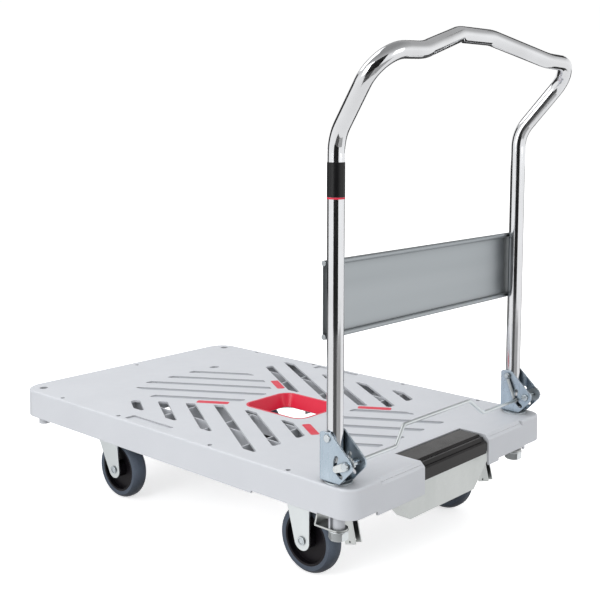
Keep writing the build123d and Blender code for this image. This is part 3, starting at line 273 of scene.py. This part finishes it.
def blend_colors(tree, kind, factor, first, second):
    """Mixes two colours; factor is a number or a socket, second a colour or a socket."""
    node = tree.nodes.new("ShaderNodeMix")
    node.data_type = "RGBA"
    node.blend_type = kind
    fraction, color_a, color_b = node.inputs[0], node.inputs[6], node.inputs[7]
    if isinstance(factor, (int, float)):
        fraction.default_value = factor
    else:
        tree.links.new(factor, fraction)
    tree.links.new(first, color_a)
    if isinstance(second, tuple):
        color_b.default_value = (*second, 1)
    else:
        tree.links.new(second, color_b)
    return node.outputs[2]


def shade_hollows(tree, color, reach, darkest, start, end):
    """Paints shade: darkens a colour in grooves, corners and hollows within reach."""
    cover = tree.nodes.new("ShaderNodeAmbientOcclusion")
    cover.samples = COVER_SAMPLES
    cover.inputs["Distance"].default_value = reach
    shade = ramp(tree, cover.outputs["AO"], darkest, 1.0, start, end)
    return blend_colors(tree, "MULTIPLY", 1.0, color, shade)


def paint_level_shade(tree, color, low, high, tone):
    """Paints shade: darkens a colour on upward faces between two heights, such as groove floors."""
    geometry = tree.nodes.new("ShaderNodeNewGeometry")
    facing = tree.nodes.new("ShaderNodeSeparateXYZ")
    tree.links.new(geometry.outputs["Normal"], facing.inputs["Vector"])
    coordinates = tree.nodes.new("ShaderNodeTexCoord")
    place = tree.nodes.new("ShaderNodeSeparateXYZ")
    tree.links.new(coordinates.outputs["Object"], place.inputs["Vector"])
    fraction = None
    for source, kind, limit in (
            (facing.outputs["Z"], "GREATER_THAN", FLAT_UP),
            (place.outputs["Z"], "GREATER_THAN", low),
            (place.outputs["Z"], "LESS_THAN", high)):
        test = tree.nodes.new("ShaderNodeMath")
        test.operation = kind
        test.inputs[1].default_value = limit
        tree.links.new(source, test.inputs[0])
        if fraction is None:
            fraction = test.outputs["Value"]
            continue
        both = tree.nodes.new("ShaderNodeMath")
        both.operation = "MULTIPLY"
        tree.links.new(fraction, both.inputs[0])
        tree.links.new(test.outputs["Value"], both.inputs[1])
        fraction = both.outputs["Value"]
    return blend_colors(tree, "MULTIPLY", fraction, color, tone)


def soften_edges(tree, radius):
    """Normal that rounds every edge by a small radius."""
    rounded = tree.nodes.new("ShaderNodeBevel")
    rounded.samples = BEVEL_SAMPLES
    rounded.inputs["Radius"].default_value = radius
    return rounded.outputs["Normal"]


def paint_edge_highlight(tree, color, rounded, edge_highlight_tone, amount):
    """Paints a highlight: lightens a colour along the edges that the rounded normal finds."""
    geometry = tree.nodes.new("ShaderNodeNewGeometry")
    match = tree.nodes.new("ShaderNodeVectorMath")
    match.operation = "DOT_PRODUCT"
    tree.links.new(geometry.outputs["Normal"], match.inputs[0])
    tree.links.new(rounded, match.inputs[1])
    edge = ramp(tree, match.outputs["Value"], amount, 0.0, *EDGE_MATCH)
    return blend_colors(tree, "MIX", edge, color, edge_highlight_tone)


def moulded_plastic(
        name, low, high, roughness, grain_scale, grain_height, edge_highlight_tone, edge_highlight, hollow_shades=(), groove_shade=None):
    """Moulded plastic: a faint mottle, fine grain, uneven gloss, edges lightened as a painted
    highlight, hollows and groove floors darkened as painted shade.
    """
    material, shader = new_material(name, high, roughness)
    tree = material.node_tree
    rounded = soften_edges(tree, 0.0012)
    color = paint_edge_highlight(tree, ramp(tree, noise(tree, 9), low, high), rounded, edge_highlight_tone, edge_highlight)
    for reach, darkest, start, end in hollow_shades:
        color = shade_hollows(tree, color, reach, darkest, start, end)
    if groove_shade:
        color = paint_level_shade(tree, color, *groove_shade)
    tree.links.new(color, shader.inputs["Base Color"])
    gloss = ramp(tree, noise(tree, 38), roughness - 0.05, roughness + 0.06)
    tree.links.new(gloss, shader.inputs["Roughness"])
    bump(tree, shader, noise(tree, grain_scale, 2), 0.25, grain_height, rounded)
    return material


def plated_metal(
        name, low, high, roughness, spread, stretch, scale=60, height=0.00003, edge_highlight=0.7,
        hollow_shade=0.3):
    """Plated metal: drawn-out streaks, uneven gloss, edges lightened as a painted highlight,
    corners darkened as painted shade.
    """
    material, shader = new_material(name, high, roughness, 1.0)
    tree = material.node_tree
    rounded = soften_edges(tree, 0.001)
    color = ramp(tree, noise(tree, scale / 4, 4, stretch), low, high)
    color = paint_edge_highlight(tree, color, rounded, BRIGHT_EDGE, edge_highlight)
    color = shade_hollows(tree, color, 0.012, hollow_shade, *CORNER_SHADE)
    tree.links.new(color, shader.inputs["Base Color"])
    streaks = noise(tree, scale, 4, stretch)
    gloss = ramp(tree, streaks, roughness - spread, roughness + spread)
    tree.links.new(gloss, shader.inputs["Roughness"])
    bump(tree, shader, streaks, 0.2, height, rounded)
    return material


def chrome_plate():
    """Bright chrome with faint clouding."""
    material, shader = new_material("chrome_plate", (0.80, 0.81, 0.82), 0.07, 1.0)
    tree = material.node_tree
    tree.links.new(ramp(tree, noise(tree, 25), 0.06, 0.14), shader.inputs["Roughness"])
    tone = ramp(tree, noise(tree, 12, 4), (0.75, 0.755, 0.77), (0.84, 0.85, 0.87))
    tree.links.new(tone, shader.inputs["Base Color"])
    return material


def galvanised_sheet():
    """Galvanised sheet with faint zinc spangle and drawn-out clouding, edges lightened as a painted
    highlight and corners darkened as painted shade.
    """
    material, shader = new_material("galvanised_sheet", (0.66, 0.68, 0.67), 0.42, 1.0)
    tree = material.node_tree
    rounded = soften_edges(tree, 0.0008)
    coordinates = tree.nodes.new("ShaderNodeTexCoord")
    spangle = tree.nodes.new("ShaderNodeTexVoronoi")
    spangle.inputs["Scale"].default_value = 150
    tree.links.new(coordinates.outputs["Object"], spangle.inputs["Vector"])
    flecks = ramp(tree, spangle.outputs["Color"], (0.95, 0.95, 0.95), (1.0, 1.0, 1.0), 0.1, 0.9)
    cloud = ramp(tree, noise(tree, 14, 4, (1, 1, 0.3)), (0.60, 0.625, 0.615), (0.68, 0.70, 0.69))
    color = blend_colors(tree, "MULTIPLY", 1.0, cloud, flecks)
    color = paint_edge_highlight(tree, color, rounded, (0.84, 0.86, 0.86), 0.6)
    color = shade_hollows(tree, color, 0.02, 0.3, *CORNER_SHADE)
    tree.links.new(color, shader.inputs["Base Color"])
    tree.links.new(ramp(tree, spangle.outputs["Color"], 0.38, 0.45), shader.inputs["Roughness"])
    bump(tree, shader, noise(tree, 300, 3), 0.15, 0.00003, rounded)
    return material


def tyre_rubber():
    """Elastic grey-blue rubber, with painted shade where other parts come within reach."""
    material, shader = new_material("tyre_rubber", (0.12, 0.15, 0.20), 0.6)
    shader.inputs["Specular IOR Level"].default_value = 0.3
    tree = material.node_tree
    tone = ramp(tree, noise(tree, 30), (0.105, 0.13, 0.175), (0.13, 0.16, 0.21))
    tone = shade_hollows(tree, tone, 0.14, 0.3, 0.35, 0.85)
    tree.links.new(tone, shader.inputs["Base Color"])
    tree.links.new(ramp(tree, noise(tree, 80), 0.5, 0.68), shader.inputs["Roughness"])
    bump(tree, shader, noise(tree, 900, 2), 0.2, 0.00005)
    return material


def black_moulding(name, low, high, roughness, grain_scale, sheen=0.3):
    """Dark moulding with a subdued sheen, a faint painted highlight on its edges and painted shade
    in its hollows.
    """
    material = moulded_plastic(
        name, low, high, roughness, grain_scale, 0.00004, (0.10, 0.10, 0.11), 0.35,
        ((0.01, 0.4, 0.3, 0.9),))
    material.node_tree.nodes["Principled BSDF"].inputs["Specular IOR Level"].default_value = sheen
    return material


def make_materials():
    """One finish for each of the record's slots, and some for single kinds of piece."""
    return {
        # The tone after the grain sizes is a painted highlight on the edges; the deck's hollows and
        # groove floors get painted shade.
        "deck_plastic": moulded_plastic(
            "deck_moulding", (0.64, 0.66, 0.70), (0.665, 0.685, 0.725), 0.45, 1500, 0.00005,
            (0.82, 0.84, 0.87), 0.6, DECK_HOLLOW_SHADES, DECK_GROOVE_SHADE),
        "red_plastic": moulded_plastic(
            "crimson_moulding", (0.74, 0.014, 0.05), (0.79, 0.02, 0.062), 0.36, 900, 0.00003,
            (0.86, 0.30, 0.40), 0.8),
        "black_plastic": black_moulding(
            "black_moulding", (0.006, 0.006, 0.007), (0.01, 0.01, 0.011), 0.34, 900),
        "pedal_plastic": black_moulding(
            "pedal_moulding", (0.008, 0.007, 0.007), (0.015, 0.013, 0.013), 0.2, 1200),
        "rim_plastic": black_moulding(
            "rim_moulding", (0.007, 0.006, 0.008), (0.012, 0.010, 0.013), 0.4, 900, 0.16),
        "tyre_rubber": tyre_rubber(),
        "tube_chrome": chrome_plate(),
        "panel_zinc": plated_metal(
            "panel_sheet", (0.40, 0.43, 0.45), (0.455, 0.485, 0.505), 0.42, 0.06, (1, 0.04, 1)),
        "zinc": plated_metal(
            "blue_zinc", (0.415, 0.50, 0.585), (0.60, 0.70, 0.79), 0.28, 0.07, (1, 1, 0.25), 110),
        "galvanised": galvanised_sheet(),
        "bright_zinc": plated_metal(
            "bright_zinc", (0.72, 0.76, 0.77), (0.82, 0.86, 0.87), 0.34, 0.06, (1, 1, 0.4), 60,
            hollow_shade=0.6),
        "rivet_zinc": plated_metal(
            "rivet_zinc", (0.58, 0.64, 0.68), (0.74, 0.79, 0.82), 0.24, 0.06, (1, 1, 1), 90,
            edge_highlight=0.9, hollow_shade=0.2),
        "disc_zinc": plated_metal(
            "disc_zinc", (0.70, 0.75, 0.78), (0.84, 0.88, 0.90), 0.5, 0.06, (1, 1, 1), 70,
            edge_highlight=0.9, hollow_shade=0.8),
        "bearing_steel": plated_metal(
            "ground_steel", (0.5, 0.5, 0.52), (0.6, 0.6, 0.62), 0.25, 0.05, (1, 1, 1), 50),
    }


# part of a node's name, finish that it gets in place of its slot's
SPECIAL_FINISHES = (
    ("_rivet_", "rivet_zinc"), ("_axle_", "rivet_zinc"), ("base_disc_", "disc_zinc"),
    ("_fork_", "bright_zinc"), ("hinge_bolt_", "bright_zinc"), ("latch_plates", "bright_zinc"),
    ("release_wire", "bright_zinc"))


def dress_nodes(materials):
    """Gives each CAD node the finish of its slot, or its own special finish."""
    slots = {entry["node"]: entry["material_slot"] for entry in frame["record"]["subparts"]}
    for name, node in frame["nodes"].items():
        special = [finish for part, finish in SPECIAL_FINISHES if part in name]
        for place in node.material_slots:
            place.material = materials[special[0] if special else slots[name]]


# ------------------------------------------------------------ small pieces, in metres
SPRING_WIRE_R = 0.00068
SPRING_COIL_R = 0.00278
SPRING_PITCH = 0.00152
EYE_TURN = (30, 300)        # degrees of each eye, from the coil's side
RIVET_EYE_R = 0.00476
WIRE_EYE_R = 0.00401
EYE_STEPS = 18
COIL_STEPS = 16             # per turn
NUT_CROWN_SLOPE = 0.5
NUT_HALF_FLATS = 0.0145
NUT_FACE_SHARE = 0.97       # radius of the crowned face, as a share of half the flats
NUT_LEVELS = (0, 0.02, 0.05, 0.09, 0.14, 0.5, 0.86, 0.91, 0.95, 0.98, 1)
WASHER_THICKNESS = 0.0025
WASHER_CHAMFER = 0.0004
WASHER_LEVELS = (0, 0.16, 0.84, 1)
BOLT_R = 0.00802


def link_mesh(name, points, faces, finish, smooth=True):
    """Object from points and faces, with its finish."""
    mesh = bpy.data.meshes.new(name)
    mesh.from_pydata([tuple(point) for point in points], [], faces)
    mesh.materials.append(finish)
    mesh.polygons.foreach_set("use_smooth", [smooth] * len(mesh.polygons))
    mesh.validate()
    mesh.update()
    piece = bpy.data.objects.new(name, mesh)
    bpy.context.scene.collection.objects.link(piece)
    return piece


def tube_along(name, points, radius, finish, sides=10):
    """Round wire that follows points, with closed ends."""
    points = [Vector(point) for point in points]
    rings, normal = [], None
    for number, point in enumerate(points):
        before = points[max(number - 1, 0)]
        after = points[min(number + 1, len(points) - 1)]
        along = (after - before).normalized()
        if normal is None:
            normal = along.orthogonal().normalized()
        normal = (normal - along * normal.dot(along)).normalized()
        across = along.cross(normal)
        turn = [2 * math.pi * side / sides for side in range(sides)]
        rings.append([point + radius * (normal * math.cos(a) + across * math.sin(a)) for a in turn])
    vertices = [vertex for ring in rings for vertex in ring]
    faces = []
    for ring in range(len(rings) - 1):
        for side in range(sides):
            low, high = ring * sides + side, ring * sides + (side + 1) % sides
            faces.append((low, high, high + sides, low + sides))
    faces.append(tuple(reversed(range(sides))))
    faces.append(tuple(range(len(vertices) - sides, len(vertices))))
    return link_mesh(name, vertices, faces, finish)


def make_spring(side_name, finish):
    """Close-wound spring: a coil with an eye round the handle rivet and one round the wire."""
    node = f"latch_spring_{side_name}"
    low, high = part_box(node)
    rivet_low, rivet_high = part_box(f"pivot_rivet_{side_name}")
    rivet = (rivet_low + rivet_high) / 2
    mid_y = (low.y + high.y) / 2
    top = Vector((rivet.x, mid_y, rivet.z))
    reach = WIRE_EYE_R + SPRING_WIRE_R
    near = low.x + reach if abs(low.x - rivet.x) > abs(high.x - rivet.x) else high.x - reach
    foot = Vector((near, mid_y, low.z + reach))
    length = (foot - top).length
    down = (foot - top) / length
    sideways = Vector((down.z, 0, -down.x))
    depth = Vector((0, 1, 0))
    route = []
    first, last = (math.radians(angle) for angle in EYE_TURN)
    for number in range(EYE_STEPS + 1):
        angle = first + (last - first) * number / EYE_STEPS
        route.append((RIVET_EYE_R * math.cos(angle), RIVET_EYE_R * math.sin(angle), 0))
    coil_top = RIVET_EYE_R + 2 * SPRING_WIRE_R
    coil_low = length - WIRE_EYE_R - 2 * SPRING_WIRE_R
    turns = round((coil_low - coil_top) / SPRING_PITCH)
    for number in range(turns * COIL_STEPS + 1):
        angle = math.pi + number * 2 * math.pi / COIL_STEPS
        place = coil_top + (coil_low - coil_top) * number / (turns * COIL_STEPS)
        route.append((place, SPRING_COIL_R * math.cos(angle), SPRING_COIL_R * math.sin(angle)))
    for number in range(EYE_STEPS + 1):
        angle = last + (first - last) * number / EYE_STEPS
        route.append((length - WIRE_EYE_R * math.cos(angle), WIRE_EYE_R * math.sin(angle), 0))
    points = [top + down * a + sideways * b + depth * c for a, b, c in route]
    spring = tube_along(f"wound_spring_{side_name}", points, SPRING_WIRE_R, finish)
    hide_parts(node)
    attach(spring, "base")


def turned_piece(name, centre, levels, radius_at, bore, finish, steps=96):
    """Closed ring-shaped piece whose outer radius depends on its angle and height."""
    vertices, faces = [], []
    angles = [2 * math.pi * number / steps for number in range(steps)]
    for height in levels:
        for angle in angles:
            r = radius_at(angle, height)
            vertices.append(centre + Vector((r * math.cos(angle), r * math.sin(angle), height)))
    for height in (levels[-1], levels[0]):
        for angle in angles:
            inner = (bore * math.cos(angle), bore * math.sin(angle), height)
            vertices.append(centre + Vector(inner))
    rows = len(levels) + 2
    for row in range(rows):
        for number in range(steps):
            here, there = row * steps, (row + 1) % rows * steps
            after = (number + 1) % steps
            faces.append((here + number, here + after, there + after, there + number))
    return link_mesh(name, vertices, faces, finish, smooth=False)


def make_nut(side_name, finish):
    """Washer and hex nut with the crown turned off its corners."""
    node = f"hinge_nut_{side_name}"
    low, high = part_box(node)
    middle = (low + high) / 2
    centre = Vector((middle.x, middle.y, low.z))
    washer_r = (high.x - low.x) / 2
    nut_top = high.z - low.z - WASHER_THICKNESS

    def hex_radius(angle, height):
        turn = (angle + math.pi / 6) % (math.pi / 3) - math.pi / 6
        flat = NUT_HALF_FLATS / math.cos(turn)
        crown = NUT_HALF_FLATS * NUT_FACE_SHARE + min(height, nut_top - height) / NUT_CROWN_SLOPE
        return min(flat, crown)

    levels = [nut_top * share for share in NUT_LEVELS]
    nut = turned_piece(f"crowned_nut_{side_name}", centre, levels, hex_radius, BOLT_R, finish)

    def washer_radius(angle, height):
        edge = min(height - nut_top, nut_top + WASHER_THICKNESS - height)
        return washer_r - max(WASHER_CHAMFER - edge, 0)

    levels = [nut_top + WASHER_THICKNESS * share for share in WASHER_LEVELS]
    washer = turned_piece(f"washer_{side_name}", centre, levels, washer_radius, BOLT_R, finish)
    for piece in (nut, washer):
        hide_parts(node)
        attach(piece, "base")


# ------------------------------------------------------------ the scene
make_camera()
make_floor()
make_world()
for softbox in SOFTBOXES:
    add_softbox(*softbox)
for flag in FLAGS:
    add_flag(*flag)
materials = make_materials()
dress_nodes(materials)
for side_name in ("left", "right"):
    make_spring(side_name, materials["bright_zinc"])
    make_nut(side_name, materials["bright_zinc"])

bpy.context.view_layer.update()
